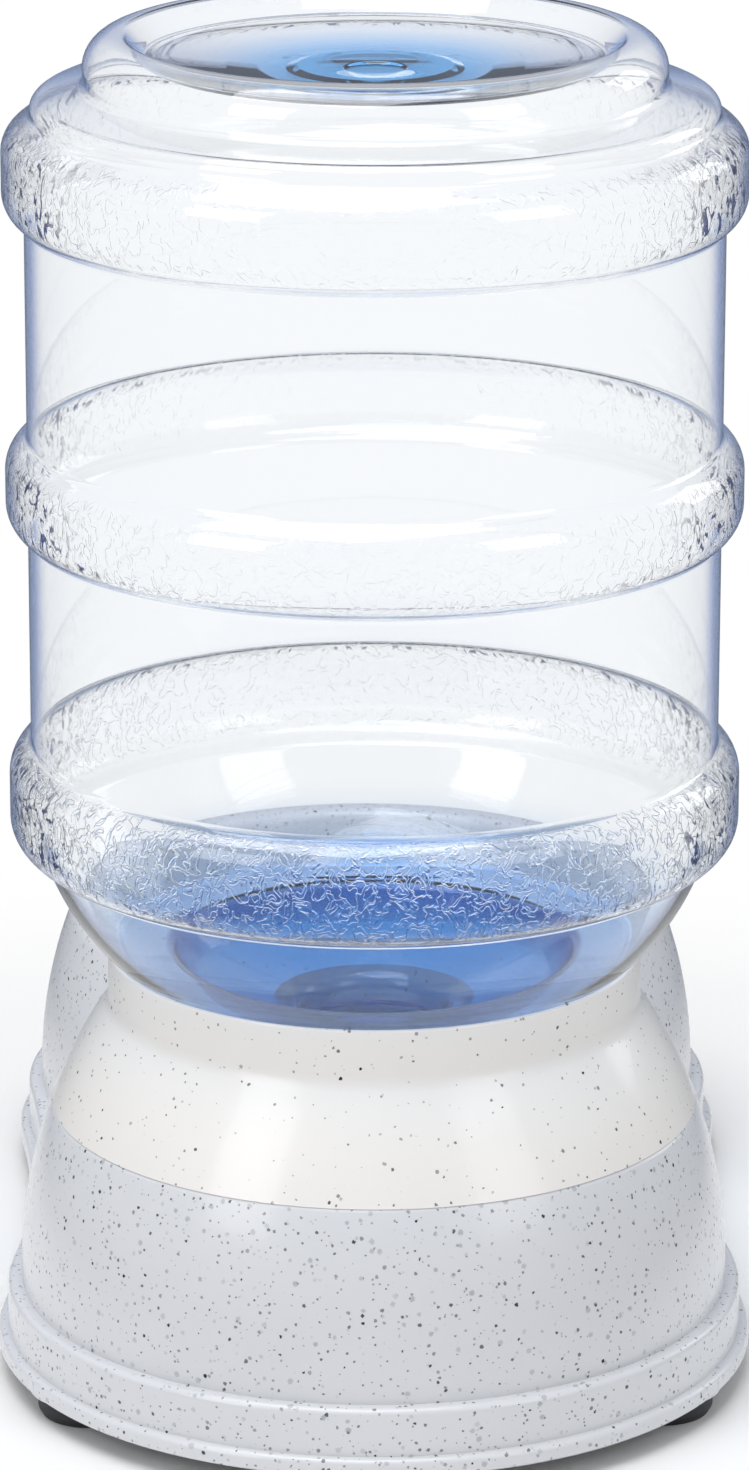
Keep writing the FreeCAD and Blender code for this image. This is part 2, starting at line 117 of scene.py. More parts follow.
def newTree(name, kind, inputs, outputs):
    # A node group with named sockets: (name, socket type, default)
    tree = bpy.data.node_groups.new(name, kind)
    for label, socketType, default in inputs:
        socket = tree.interface.new_socket(label, in_out="INPUT", socket_type=socketType)
        if default is not None:
            socket.default_value = default
    for label, socketType in outputs:
        tree.interface.new_socket(label, in_out="OUTPUT", socket_type=socketType)
    return tree, tree.nodes.new("NodeGroupInput"), tree.nodes.new("NodeGroupOutput")


def finishTree(tree, given, result, geometry):
    # The end of each Geometry Nodes tree: instances made real, and the material put on
    real = node(tree, "GeometryNodeRealizeInstances", {"Geometry": geometry})
    covered = node(tree, "GeometryNodeSetMaterial",
                   {"Geometry": real.outputs[0], "Material": given.outputs["Material"]})
    feed(tree, result, {"Piece": covered.outputs[0]})
    return tree


def addObject(name, data):
    made = bpy.data.objects.new(name, data)
    scene.collection.objects.link(made)
    return made


def newObject(name, vertices, edges, faces):
    mesh = bpy.data.meshes.new(name)
    mesh.from_pydata(vertices, edges, faces)
    return addObject(name, mesh)


def applied(made, modifier):
    # Keeps the modifier's result as the object's mesh
    bpy.context.view_layer.update()
    evaluated = made.evaluated_get(bpy.context.evaluated_depsgraph_get())
    result = bpy.data.meshes.new_from_object(evaluated)
    made.modifiers.remove(modifier)
    old = made.data
    made.data = result
    bpy.data.meshes.remove(old)
    return made


def shapedBy(tree, made, values):
    # Runs a Geometry Nodes tree on the object
    modifier = made.modifiers.new("shape", "NODES")
    modifier.node_group = tree
    for item in tree.interface.items_tree:
        if item.item_type == "SOCKET" and item.in_out == "INPUT" and item.name in values:
            modifier[item.identifier] = values[item.name]
    return applied(made, modifier)


def cutBy(made, cutter):
    modifier = made.modifiers.new("cut", "BOOLEAN")
    modifier.operation = "DIFFERENCE"
    modifier.solver = "EXACT"
    modifier.object = cutter
    applied(made, modifier)
    bpy.data.objects.remove(cutter)


def finishMesh(made, sharpAngle=35, turn=True):
    # Faces outward, smooth, with the true corners kept sharp
    cleaned = bmesh.new()
    cleaned.from_mesh(made.data)
    bmesh.ops.remove_doubles(cleaned, verts=cleaned.verts, dist=1e-6)
    bmesh.ops.dissolve_degenerate(cleaned, edges=cleaned.edges, dist=1e-7)
    if turn:
        bmesh.ops.recalc_face_normals(cleaned, faces=cleaned.faces)
        if cleaned.calc_volume(signed=True) < 0:
            bmesh.ops.reverse_faces(cleaned, faces=cleaned.faces)
    cleaned.to_mesh(made.data)
    cleaned.free()
    made.data.shade_smooth()
    made.data.set_sharp_from_angle(angle=math.radians(sharpAngle))
    return made


def paint(made, material):
    made.data.materials.clear()
    made.data.materials.append(material)


def fit(made, body, slot, *nodes):
    # The piece rides on its body and stands for the CAD nodes
    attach(made, body)
    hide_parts(*nodes)


def joined(name, parts, sharpAngle):
    # One mesh from several closed parts, each with its faces outward
    whole = bmesh.new()
    for part in parts:
        finishMesh(part)
        whole.from_mesh(part.data)
    mesh = bpy.data.meshes.new(name)
    whole.to_mesh(mesh)
    whole.free()
    made = addObject(name, mesh)
    for part in parts:
        bpy.data.objects.remove(part)
    return finishMesh(made, sharpAngle, turn=False)


# Outlines, as points (radius, height) in millimetres

def arcPoints(centre, radius, start, end, chord=2.5, least=4):
    # Points on an arc from one angle to another, in radians
    steps = max(least, math.ceil(abs(end - start) * radius / chord))
    turns = [start + (end - start) * index / steps for index in range(steps + 1)]
    return [(centre[0] + radius * math.cos(turn), centre[1] + radius * math.sin(turn))
            for turn in turns]


def roundedOutline(corners, chord=2.5):
    # Straight runs through the corners (radius, height, rounding), with round bends
    points = [tuple(corners[0][:2])]
    for before, here, after in zip(corners, corners[1:], corners[2:]):
        corner = Vector(here[:2])
        incoming = (corner - Vector(before[:2])).normalized()
        outgoing = (Vector(after[:2]) - corner).normalized()
        turn = incoming.angle(outgoing)
        if here[2] <= 0 or turn < 0.001:
            points.append(tuple(corner))
            continue
        centre = corner + (outgoing - incoming).normalized() * here[2] / math.cos(turn / 2)
        spoke = corner - incoming * here[2] * math.tan(turn / 2) - centre
        start = math.atan2(spoke.y, spoke.x)
        side = incoming.x * outgoing.y - incoming.y * outgoing.x
        end = start + math.copysign(turn, side)
        least = max(3, math.ceil(math.degrees(turn) / 9))
        points += arcPoints(centre, here[2], start, end, chord, least)
    points.append(tuple(corners[-1][:2]))
    return points


def shifted(points, distance):
    # The points moved to the left of their run by the distance, or by a value for each
    moved = []
    for index, here in enumerate(points):
        before = Vector(points[max(index - 1, 0)])
        after = Vector(points[min(index + 1, len(points) - 1)])
        along = (after - before).normalized()
        step = distance[index] if isinstance(distance, list) else distance
        moved.append((here[0] - along.y * step, here[1] + along.x * step))
    return moved


def makeLatheTree():
    # Turns the outline held by the object's points round an upright axis
    tree, given, result = newTree("turnedPiece", "GeometryNodeTree", (
        ("Outline", "NodeSocketGeometry", None),
        ("Segments", "NodeSocketInt", 96),
        ("Centre X", "NodeSocketFloat", 0.0),
        ("Centre Y", "NodeSocketFloat", 0.0),
        ("Material", "NodeSocketMaterial", None),
    ), (("Piece", "NodeSocketGeometry"),))
    outline = given.outputs["Outline"]
    segments = given.outputs["Segments"]
    count = node(tree, "GeometryNodeAttributeDomainSize", {0: outline}).outputs["Point Count"]
    columns = maths(tree, "ADD", segments, 1)
    grid = node(tree, "GeometryNodeMeshGrid", {"Vertices X": columns, "Vertices Y": count})
    place = node(tree, "GeometryNodeInputIndex").outputs[0]
    column = maths(tree, "FLOOR", maths(tree, "DIVIDE", maths(tree, "ADD", place, 0.5), count))
    row = maths(tree, "SUBTRACT", place, maths(tree, "MULTIPLY", column, count))
    position = node(tree, "GeometryNodeInputPosition").outputs[0]
    picked = node(tree, "GeometryNodeSampleIndex",
                  {"Geometry": outline, "Value": position, "Index": row}, data_type="FLOAT_VECTOR")
    parts = node(tree, "ShaderNodeSeparateXYZ", {0: picked.outputs["Value"]})
    turn = maths(tree, "MULTIPLY", maths(tree, "DIVIDE", column, segments), 2 * math.pi)
    x = maths(tree, "MULTIPLY", parts.outputs["X"], maths(tree, "COSINE", turn))
    y = maths(tree, "MULTIPLY", parts.outputs["X"], maths(tree, "SINE", turn))
    x = maths(tree, "ADD", x, given.outputs["Centre X"])
    y = maths(tree, "ADD", y, given.outputs["Centre Y"])
    spot = node(tree, "ShaderNodeCombineXYZ", {"X": x, "Y": y, "Z": parts.outputs["Z"]})
    placed = node(tree, "GeometryNodeSetPosition",
                  {"Geometry": grid.outputs["Mesh"], "Position": spot.outputs[0]})
    closed = node(tree, "GeometryNodeMergeByDistance",
                  {"Geometry": placed.outputs[0], "Distance": 2e-6})
    return finishTree(tree, given, result, closed.outputs[0])


latheTree = makeLatheTree()


def turned(name, points, material, centreX=0.0, centreY=bottleY, segments=192):
    # A piece turned from an outline, given in millimetres
    vertices = [(radius * mm, 0, height * mm) for radius, height in points]
    edges = [(index, index + 1) for index in range(len(points) - 1)]
    made = newObject(name, vertices, edges, [])
    return shapedBy(latheTree, made, {"Segments": segments, "Centre X": centreX * mm,
                                      "Centre Y": centreY * mm, "Material": material})


print("helpers ready")


# Shared shader effects

chipShape = {
    "outlineScale": 1200.0,               # of the noise that makes the chips ragged
    "sizes": (0.45, 1.35),                # smallest and largest, as shares of the radius
    "faintest": 0.45,                     # as a share of the strongest
}


def makeFleckGroup():
    # Irregular chips scattered through the plastic, cut wherever the surface passes
    tree, given, result = newTree("chipsInPlastic", "ShaderNodeTree", (
        ("Vector", "NodeSocketVector", None),
        ("Spacing", "NodeSocketFloat", 0.003),
        ("Radius", "NodeSocketFloat", 0.0003),
        ("Softness", "NodeSocketFloat", 0.0001),
        ("Share", "NodeSocketFloat", 0.5),
        ("Raggedness", "NodeSocketFloat", 0.0010),
    ), (("Mask", "NodeSocketFloat"), ("Variety", "NodeSocketFloat")))
    spacing = given.outputs["Spacing"]
    vector = given.outputs["Vector"]
    ragged = node(tree, "ShaderNodeTexNoise",
                  {"Vector": vector, "Scale": chipShape["outlineScale"], "Detail": 2.0})
    offset = vectorMaths(tree, "SUBTRACT", ragged.outputs["Color"], (0.5, 0.5, 0.5))
    offset = vectorMaths(tree, "SCALE", offset, given.outputs["Raggedness"])
    warped = vectorMaths(tree, "ADD", vector, offset)
    cellScale = maths(tree, "DIVIDE", 1.0, spacing)
    cells = node(tree, "ShaderNodeTexVoronoi",
                 {"Vector": warped, "Scale": cellScale, "Randomness": 1.0})
    chance = node(tree, "ShaderNodeSeparateColor", {0: cells.outputs["Color"]})
    away = maths(tree, "MULTIPLY", cells.outputs["Distance"], spacing)
    size = ramp(tree, chance.outputs["Green"], 0.0, 1.0, *chipShape["sizes"], smooth=False)
    reach = maths(tree, "MULTIPLY", given.outputs["Radius"], size)
    inside = maths(tree, "DIVIDE", maths(tree, "SUBTRACT", reach, away), given.outputs["Softness"])
    inside = maths(tree, "MULTIPLY", inside, 1.0, clamp=True)
    held = maths(tree, "LESS_THAN", chance.outputs["Red"], given.outputs["Share"])
    feed(tree, result, {"Mask": maths(tree, "MULTIPLY", inside, held),
                        "Variety": chance.outputs["Blue"]})
    return tree


def makeCloudGroup():
    # Slow, faint unevenness of a moulded colour, and the fine ripple of its skin
    tree, given, result = newTree("mouldedSkin", "ShaderNodeTree", (
        ("Vector", "NodeSocketVector", None),
        ("Cloud Scale", "NodeSocketFloat", 14.0),
        ("Ripple Scale", "NodeSocketFloat", 260.0),
        ("Roughness", "NodeSocketFloat", 0.3),
        ("Roughness Spread", "NodeSocketFloat", 0.06),
    ), (("Cloud", "NodeSocketFloat"), ("Ripple", "NodeSocketFloat"),
        ("Roughness", "NodeSocketFloat")))
    vector = given.outputs["Vector"]
    cloud = node(tree, "ShaderNodeTexNoise",
                 {"Vector": vector, "Scale": given.outputs["Cloud Scale"], "Detail": 3.0})
    ripple = node(tree, "ShaderNodeTexNoise",
                  {"Vector": vector, "Scale": given.outputs["Ripple Scale"], "Detail": 2.0})
    centred = maths(tree, "SUBTRACT", ripple.outputs[0], 0.5)
    spread = maths(tree, "MULTIPLY", centred, given.outputs["Roughness Spread"])
    rough = maths(tree, "ADD", given.outputs["Roughness"], spread)
    feed(tree, result, {"Cloud": cloud.outputs[0], "Ripple": ripple.outputs[0], "Roughness": rough})
    return tree


stipple = {
    "lineStretch": (1.0, 0.85),           # the lines' scale round the bottle and upright
    "streakStretch": (0.75, 0.4),
    "streakWidth": 0.09,
    "streakCut": (0.25, 0.7),             # from faint to full
    "gapScale": 260.0,                    # of what breaks the streaks up
    "gapCut": (0.44, 0.54),
    "distortion": 0.6,
}


def makeStippleGroup():
    # Worm-like raised lines on the bottle's ribs, between the heights given, faded at their edges.
    # The same lines drawn round one cylinder, so that both faces of the wall have them in one
    # place, come out as streaks with gaps.
    tree, given, result = newTree("stippledBands", "ShaderNodeTree", (
        ("Vector", "NodeSocketVector", None),
        ("Line Scale", "NodeSocketFloat", 230.0),
        ("Line Width", "NodeSocketFloat", 0.03),
        ("Round", "NodeSocketFloat", 0.13),
        ("Low", "NodeSocketFloat", 0.0),
        ("High", "NodeSocketFloat", 0.1),
        ("Fade", "NodeSocketFloat", 0.004),
    ), (("Height", "NodeSocketFloat"), ("Streaks", "NodeSocketFloat")))

    def linesAt(place, width, around, upright):
        drawn = vectorMaths(tree, "MULTIPLY", place, (around, around, upright))
        noise = node(tree, "ShaderNodeTexNoise",
                     {"Vector": drawn, "Scale": given.outputs["Line Scale"], "Detail": 1.0,
                      "Distortion": stipple["distortion"]})
        away = maths(tree, "ABSOLUTE", maths(tree, "SUBTRACT", noise.outputs[0], 0.5))
        return ramp(tree, away, 0.0, width, 1.0, 0.0)

    vector = given.outputs["Vector"]
    line = linesAt(vector, given.outputs["Line Width"], *stipple["lineStretch"])
    spoke = vectorMaths(tree, "NORMALIZE", vectorMaths(tree, "MULTIPLY", vector, (1, 1, 0)))
    spoke = vectorMaths(tree, "SCALE", spoke, given.outputs["Round"])
    wrapped = vectorMaths(tree, "ADD", spoke, vectorMaths(tree, "MULTIPLY", vector, (0, 0, 1)))
    streak = linesAt(wrapped, stipple["streakWidth"], *stipple["streakStretch"])
    streak = ramp(tree, streak, *stipple["streakCut"])
    gaps = node(tree, "ShaderNodeTexNoise", {"Vector": wrapped, "Scale": stipple["gapScale"]})
    streak = maths(tree, "MULTIPLY", streak, ramp(tree, gaps.outputs[0], *stipple["gapCut"]))
    height = node(tree, "ShaderNodeSeparateXYZ", {0: vector}).outputs["Z"]
    low = given.outputs["Low"]
    high = given.outputs["High"]
    fade = given.outputs["Fade"]
    above = ramp(tree, height, low, maths(tree, "ADD", low, fade))
    below = ramp(tree, height, maths(tree, "SUBTRACT", high, fade), high, 1.0, 0.0)
    band = maths(tree, "MULTIPLY", above, below)
    feed(tree, result, {"Height": maths(tree, "MULTIPLY", line, band),
                        "Streaks": maths(tree, "MULTIPLY", streak, band)})
    return tree


fleckGroup = makeFleckGroup()
cloudGroup = makeCloudGroup()
stippleGroup = makeStippleGroup()


def newMaterial(name):
    material = bpy.data.materials.new(name)
    material.use_nodes = True
    material.node_tree.nodes.clear()
    tree = material.node_tree
    spot = node(tree, "ShaderNodeTexCoord").outputs["Object"]
    surface = node(tree, "ShaderNodeBsdfPrincipled")
    output = node(tree, "ShaderNodeOutputMaterial")
    return material, tree, spot, surface, output


def bump(tree, height, strength, distance):
    made = node(tree, "ShaderNodeBump",
                {"Strength": strength, "Distance": distance, "Height": height})
    return made.outputs["Normal"]


# Plastic with chips in it: the hood's is warmer and barer, the base's cooler and denser

plasticIOR = 1.5
moulded = {
    "roughness": 0.24,
    "ripple": (0.12, 0.00006),            # strength and depth
    "coat": 0.35,
    "coatRoughness": 0.08,
}
hoodFinish = {
    "color": (0.83, 0.80, 0.765, 1),
    "cloudColor": (0.865, 0.84, 0.81, 1),
    "chips": (
        # colour, spacing, radius, softness, share, strength
        ((0.015, 0.018, 0.02, 1), 0.0038, 0.00058, 0.00012, 0.66, 1.0),
        ((0.15, 0.16, 0.18, 1), 0.0033, 0.00046, 0.00016, 0.55, 0.8),
    ),
}
baseFinish = {
    "color": (0.66, 0.67, 0.70, 1),
    "cloudColor": (0.72, 0.73, 0.755, 1),
    "chips": (
        ((0.015, 0.02, 0.03, 1), 0.0031, 0.00060, 0.00012, 0.85, 1.0),
        ((0.09, 0.105, 0.14, 1), 0.0027, 0.00048, 0.00016, 0.75, 0.8),
        ((0.28, 0.30, 0.34, 1), 0.0042, 0.00100, 0.00045, 0.80, 0.65),
    ),
}


def chippedPlastic(name, finish):
    material, tree, spot, surface, output = newMaterial(name)
    skin = node(tree, "ShaderNodeGroup", {"Vector": spot, "Roughness": moulded["roughness"]},
                node_tree=cloudGroup)
    color = blendColor(tree, skin.outputs["Cloud"], finish["color"], finish["cloudColor"])
    for chipColor, spacing, radius, softness, share, strength in finish["chips"]:
        chips = node(tree, "ShaderNodeGroup",
                     {"Vector": spot, "Spacing": spacing, "Radius": radius, "Softness": softness,
                      "Share": share}, node_tree=fleckGroup)
        fading = ramp(tree, chips.outputs["Variety"], 0.0, 1.0, chipShape["faintest"], 1.0,
                      smooth=False)
        weight = maths(tree, "MULTIPLY", fading, strength)
        weight = maths(tree, "MULTIPLY", chips.outputs["Mask"], weight)
        color = blendColor(tree, weight, color, chipColor)
    feed(tree, surface, {
        "Base Color": color,
        "Roughness": skin.outputs["Roughness"],
        "Normal": bump(tree, skin.outputs["Ripple"], *moulded["ripple"]),
        "IOR": plasticIOR,
        "Coat Weight": moulded["coat"],
        "Coat Roughness": moulded["coatRoughness"],
    })
    feed(tree, output, {"Surface": surface.outputs[0]})
    return material


hoodPlastic = chippedPlastic("hoodPlastic", hoodFinish)
basePlastic = chippedPlastic("basePlastic", baseFinish)
print("chipped plastics ready")


# Bottle: one blown shell of clear, blue-tinted plastic

bottleShape = {
    "neck": (27.5, 90.4, 130.6, 5),           # radius, lip, height of the turn, rounding
    # from the neck: the funnel, the step round it, the flat ring and the domed shoulder
    "shoulder": ((66.0, 141.0, 6), (74.5, 155.0, 4), (92.3, 155.8, 3), (110.1, 172.4, 91)),
    "shoulderTop": 118.9,
    "waist": 122.3,
    "rib": 130.0,
    "ribLead": 5.0,
    "ribRound": 12.0,
    "crease": 2.6,
    "ribs": ((196.4, 236.0), (313.0, 347.3), (424.2, 461.6)),
    "topFall": 6.6,
    "stepRing": (120.0, 467.6, 5.0),
    "notch": (101.4, 471.8),
    "rim": (102.0, 489.8, 12.0),
    "rimInner": (87.0, 3.0),
    "sunkRing": (79.0, 481.6, 8.0),
    "disc": 477.6,
    "littleRing": (31.0, 27.0, 0.9, 2.0),     # radii, rise, rounding
    "dimple": (10.0, 1.1),
    "wall": 1.3,
    "shoulderWall": 2.3,                      # blown bottles are thickest towards the neck
    "pad": ((77.5, 480.0, 4), (52, 475.6, 12), (40, 472.8, 12), (0, 472.0, 0)),
    "bead": (117.2, 2.6, 1.6),                # height, reach and half width of the neck's bead
    "beadRounds": (0.3, 0.5),
    "wallFade": 40,                           # the wall thins over this height, up to the ribs
    "padMargin": (1, 20),                     # how far out and down the pad takes the wall's place
    "neckMargin": 2,                          # the neck's inside is straight to here below its turn
    "segments": 208,
}


def bottleOutside():
    shape = bottleShape
    crease = shape["crease"]
    neckRadius, lip, neckTop, neckRound = shape["neck"]
    beadHeight, beadReach, beadHalf = shape["bead"]
    beadRadius = neckRadius + beadReach
    lowRound, beadRound = shape["beadRounds"]
    corners = [(neckRadius, lip, 0), (neckRadius, beadHeight - beadHalf - beadReach, lowRound),
               (beadRadius, beadHeight - beadHalf, beadRound),
               (beadRadius, beadHeight + beadHalf, beadRound),
               (neckRadius, beadHeight + beadHalf + beadReach, beadRound),
               (neckRadius, neckTop, neckRound)] + list(shape["shoulder"])
    foot = shape["shoulderTop"]
    for index, (low, high) in enumerate(shape["ribs"]):
        last = index == len(shape["ribs"]) - 1
        fall = shape["topFall"] if last else shape["ribLead"]
        head = shape["stepRing"][0] if last else shape["waist"]
        corners += [(foot, low, crease), (shape["rib"], low + shape["ribLead"], shape["ribRound"]),
                    (shape["rib"], high - fall, shape["ribRound"] - last), (head, high, crease)]
        foot = shape["waist"]
    discHeight = shape["disc"]
    outer, inner, rise, rounding = shape["littleRing"]
    dimpleRadius, dimpleDepth = shape["dimple"]
    corners += [shape["stepRing"], shape["notch"] + (crease,), shape["rim"],
                (shape["rimInner"][0], shape["rim"][1], shape["rimInner"][1]), shape["sunkRing"],
                (outer, discHeight, rounding), (inner, discHeight + rise, rounding),
                (dimpleRadius + dimpleDepth, discHeight, dimpleDepth),
                (dimpleRadius, discHeight - dimpleDepth, dimpleDepth),
                (0, discHeight - dimpleDepth, 0)]
    return roundedOutline(corners)


def bottleInside(outside):
    # The same shell's inner face, with the thick pad where the plastic was cut off
    shape = bottleShape
    sunkRadius, sunkHeight = shape["sunkRing"][:2]
    out, down = shape["padMargin"]
    kept = [spot for spot in outside if spot[0] > sunkRadius + out or spot[1] < sunkHeight - down]
    walls = []
    for radius, height in kept:
        share = min(max((shape["ribs"][0][0] - height) / shape["wallFade"], 0), 1)
        walls.append(shape["wall"] + (shape["shoulderWall"] - shape["wall"]) * share)
    inner = shifted(kept, walls)
    neckInner = shape["neck"][0] - shape["shoulderWall"]
    neckTop = shape["neck"][2] - shape["neckMargin"]
    inner = [(neckInner if height < neckTop else radius, height) for radius, height in inner]
    return inner + roundedOutline((inner[-1] + (0,),) + shape["pad"])[1:]


# Colour of the clear plastic: pale in the walls, deep where it is thick, and darkened with painted
# shade round the neck and low on the shoulder, where the hood's dim collar and seat show through

bottleFinish = {
    "wall": (0.985, 0.993, 1.0, 1),
    "edge": (0.15, 0.27, 0.70, 1),        # seen along the wall, towards the outline
    "edgeStart": 0.70,
    "edgeEnd": 0.90,
    "streak": (0.01, 0.015, 0.06, 1),     # the stipple's lines, where they are seen along the wall
    "streakStart": 0.36,
    "streakEnd": 0.56,
    # deeper blue low on the shoulder: partly the tint of the thicker plastic, partly painted shade
    # of the hood's collar behind it
    "shoulder": (0.38, 0.56, 0.84, 1),
    "shoulderTintAndShadeHeights": (0.153, 0.186),
    "seat": (0.055, 0.31, 0.68, 1),       # painted shade: the hood's dim seat round the neck, seen through the bottle from above
    "seatShadeRadii": (0.0735, 0.0765),
    "seatTop": 0.165,
    "seatRingShade": (0.02, 0.10, 0.38, 1),    # a darker line of painted shade round its edge
    "seatRingShadeStart": 0.062,
    "pad": (0.15, 0.50, 0.97, 1),
    "padRadii": (0.022, 0.070),
    "padHeight": 0.470,
    "roughness": 0.02,
    "shade": (0.95, 0.965, 0.975, 1),     # what each face lets through of a lamp's light
    "absorb": (0.60, 0.80, 1.0, 1),
    "density": 12.0,
    "stippleDepth": 0.00004,
    "bands": ((0.199, 0.236, 1.7), (0.316, 0.345, 1.0), (0.428, 0.461, 1.0)),   # low, high, depth
}


def bottlePlastic():
    finish = bottleFinish
    material, tree, spot, surface, output = newMaterial("bottlePlastic")
    height = node(tree, "ShaderNodeSeparateXYZ", {0: spot}).outputs["Z"]
    centred = node(tree, "ShaderNodeMapping", {"Vector": spot, "Location": (0, -bottleY * mm, 0)})
    flat = vectorMaths(tree, "MULTIPLY", centred.outputs[0], (1, 1, 0))
    radius = vectorMaths(tree, "LENGTH", flat)
    facing = node(tree, "ShaderNodeLayerWeight", {"Blend": 0.5}).outputs["Facing"]
    along = ramp(tree, facing, finish["edgeStart"], finish["edgeEnd"])
    askew = ramp(tree, facing, finish["streakStart"], finish["streakEnd"])
    # Low on the shoulder, the tint of the thicker plastic together with painted shade of the hood's
    # collar behind it
    deep = ramp(tree, height, *finish["shoulderTintAndShadeHeights"], 1.0, 0.0)
    color = blendColor(tree, deep, finish["wall"], finish["shoulder"])
    color = blendColor(tree, along, color, finish["edge"])
    # Round the neck, painted shade of the hood's dim seat seen through the bottle, darker still in
    # a ring at its edge
    low = maths(tree, "LESS_THAN", height, finish["seatTop"])
    seat = maths(tree, "MULTIPLY", low, ramp(tree, radius, *finish["seatShadeRadii"], 1.0, 0.0))
    ring = ramp(tree, radius, finish["seatRingShadeStart"], finish["seatShadeRadii"][0])
    seatShadeColor = blendColor(tree, ring, finish["seat"], finish["seatRingShade"])
    color = blendColor(tree, seat, color, seatShadeColor)
    onTop = maths(tree, "GREATER_THAN", height, finish["padHeight"])
    middle = ramp(tree, radius, *finish["padRadii"], 1.0, 0.0)
    color = blendColor(tree, maths(tree, "MULTIPLY", onTop, middle), color, finish["pad"])
    lines, streaks = 0.0, 0.0
    for low, high, depth in finish["bands"]:
        place = {"Vector": centred.outputs[0], "Low": low, "High": high}
        band = node(tree, "ShaderNodeGroup", place, node_tree=stippleGroup)
        lines = maths(tree, "MULTIPLY_ADD", band.outputs["Height"], depth, lines)
        streaks = maths(tree, "ADD", streaks, band.outputs["Streaks"])
    color = blendColor(tree, maths(tree, "MULTIPLY", askew, streaks), color, finish["streak"])
    feed(tree, surface, {
        "Base Color": color,
        "Roughness": finish["roughness"],
        "Normal": bump(tree, lines, 1.0, finish["stippleDepth"]),
        "IOR": plasticIOR,
        "Transmission Weight": 1.0,
    })
    lamp = node(tree, "ShaderNodeLightPath").outputs["Is Shadow Ray"]
    clear = node(tree, "ShaderNodeBsdfTransparent", {"Color": finish["shade"]})
    mixed = node(tree, "ShaderNodeMixShader",
                 {0: lamp, 1: surface.outputs[0], 2: clear.outputs[0]})
    inside = node(tree, "ShaderNodeVolumeAbsorption",
                  {"Color": finish["absorb"], "Density": finish["density"]})
    feed(tree, output, {"Surface": mixed.outputs[0], "Volume": inside.outputs[0]})
    return material


outside = bottleOutside()
around = list(reversed(outside)) + bottleInside(outside)
bottle = turned("waterBottle", around, bottlePlastic(), segments=bottleShape["segments"])
finishMesh(bottle, sharpAngle=60)
fit(bottle, "dispenser", "bottle_plastic", "bottle")
print("bottle ready,", len(bottle.data.polygons), "faces")


# Hood: dome, collar and funnel turned from one outline, with the apron below it

hoodShape = {
    "collarTop": 158.4,
    "collarRadius": 95.8,
    "collarRound": 1.0,
    "fillet": 10.0,
    "seatGap": 0.3,
    "seatDome": (99.9, 144.8, 91),        # corner of the seat's curve and its rounding
    "well": (37.0, 112.0),                # radius and lower end
    "webInner": 94.8,                     # inner edge of the floor that closes the dome
    "lipRound": 0.4,
    "seatTop": 185,
    "clear": 0.5,                         # least way from a corner to the next point of a curve
    "underEnd": 1,                        # the seat's underside ends this far inside the dome
    "segments": 224,
}


def hoodOutside(inset):
    # Up the dome, round the hollow bend and up the collar, moved inward by the inset
    centre = (wallCurve["radius"] - wallCurve["bulge"], wallCurve["height"])
    radius = wallCurve["bulge"] - inset
    fillet = hoodShape["fillet"] + inset
    neck = hoodShape["collarRadius"] - inset
    bendRadius = neck + fillet
    reach = math.sqrt((radius + fillet) ** 2 - (bendRadius - centre[0]) ** 2)
    bendHeight = centre[1] + reach
    foot = math.asin((seam["height"] + seam["chamfer"] - centre[1]) / radius)
    top = math.atan2(bendHeight - centre[1], bendRadius - centre[0])
    dome = arcPoints(centre, radius, foot, top)
    bend = arcPoints((bendRadius, bendHeight), fillet, math.pi + top, math.pi, 1.5)
    return dome + bend[1:]


def seatPoints(gap, wellRadius):
    # The bowl that carries the bottle's shoulder, moved outward, from the collar down to the well
    neckRadius, lip, neckTop, neckRound = bottleShape["neck"]
    foot = (bottleShape["shoulderTop"], bottleShape["ribs"][0][0], 0)
    curve = roundedOutline([(neckRadius, lip, 0), (neckRadius, neckTop, neckRound),
                            hoodShape["seatDome"], foot])
    shoulder = [spot for spot in curve if neckTop < spot[1] < hoodShape["seatTop"]]
    moved = shifted(shoulder, -gap)
    low = []
    for before, here in zip(moved, moved[1:]):
        if before[0] < wellRadius <= here[0]:
            share = (wellRadius - before[0]) / (here[0] - before[0])
            low.append((wellRadius, before[1] + (here[1] - before[1]) * share))
        if here[0] > wellRadius + hoodShape["clear"] and here[1] <= hoodShape["collarTop"]:
            low.append(here)
    return list(reversed(low))


def makeHood():
    shape = hoodShape
    outer = hoodOutside(0)
    wall = wallCurve["thickness"]
    wellRadius, wellLow = shape["well"]
    seat = seatPoints(shape["seatGap"], wellRadius)
    under = list(reversed(seatPoints(shape["seatGap"] + wall, wellRadius + wall)))
    inner = list(reversed(hoodOutside(wall)))
    collarTop = shape["collarTop"]
    lipRound = shape["lipRound"]
    corners = [outer[-1] + (0,), (shape["collarRadius"], collarTop, shape["collarRound"]),
               (seat[0][0] + lipRound, collarTop, lipRound), seat[0] + (0,)]
    top = roundedOutline(corners, chord=0.5)
    under = [spot for spot in under if spot[0] < inner[0][0] - shape["underEnd"]]
    clear = shape["clear"]
    webInner = shape["webInner"]
    webTop = seam["height"] + wall
    innerDown = [spot for spot in inner if spot[1] > webTop + clear]
    low = [(innerDown[-1][0] + clear, webTop), (webInner, webTop), (webInner, seam["height"]),
           (outer[0][0] - seam["chamfer"], seam["height"])]
    points = (outer + top[1:] + seat[1:] + [(wellRadius, wellLow), (wellRadius + wall, wellLow)]
              + under + innerDown + low + [outer[0]])
    return turned("hoodShell", points, hoodPlastic, segments=shape["segments"])


def isInside(tree, spot):
    # A line from a place inside a closed mesh crosses it an odd number of times. It leans a
    # little, so that it runs along no upright face.
    direction = Vector((0.013, 0.007, 1)).normalized()
    onward = direction * 1e-6
    crossings = 0
    hit = tree.ray_cast(spot, direction)[0]
    while hit is not None:
        crossings += 1
        hit = tree.ray_cast(hit + onward, direction)[0]
    return crossings % 2 == 1


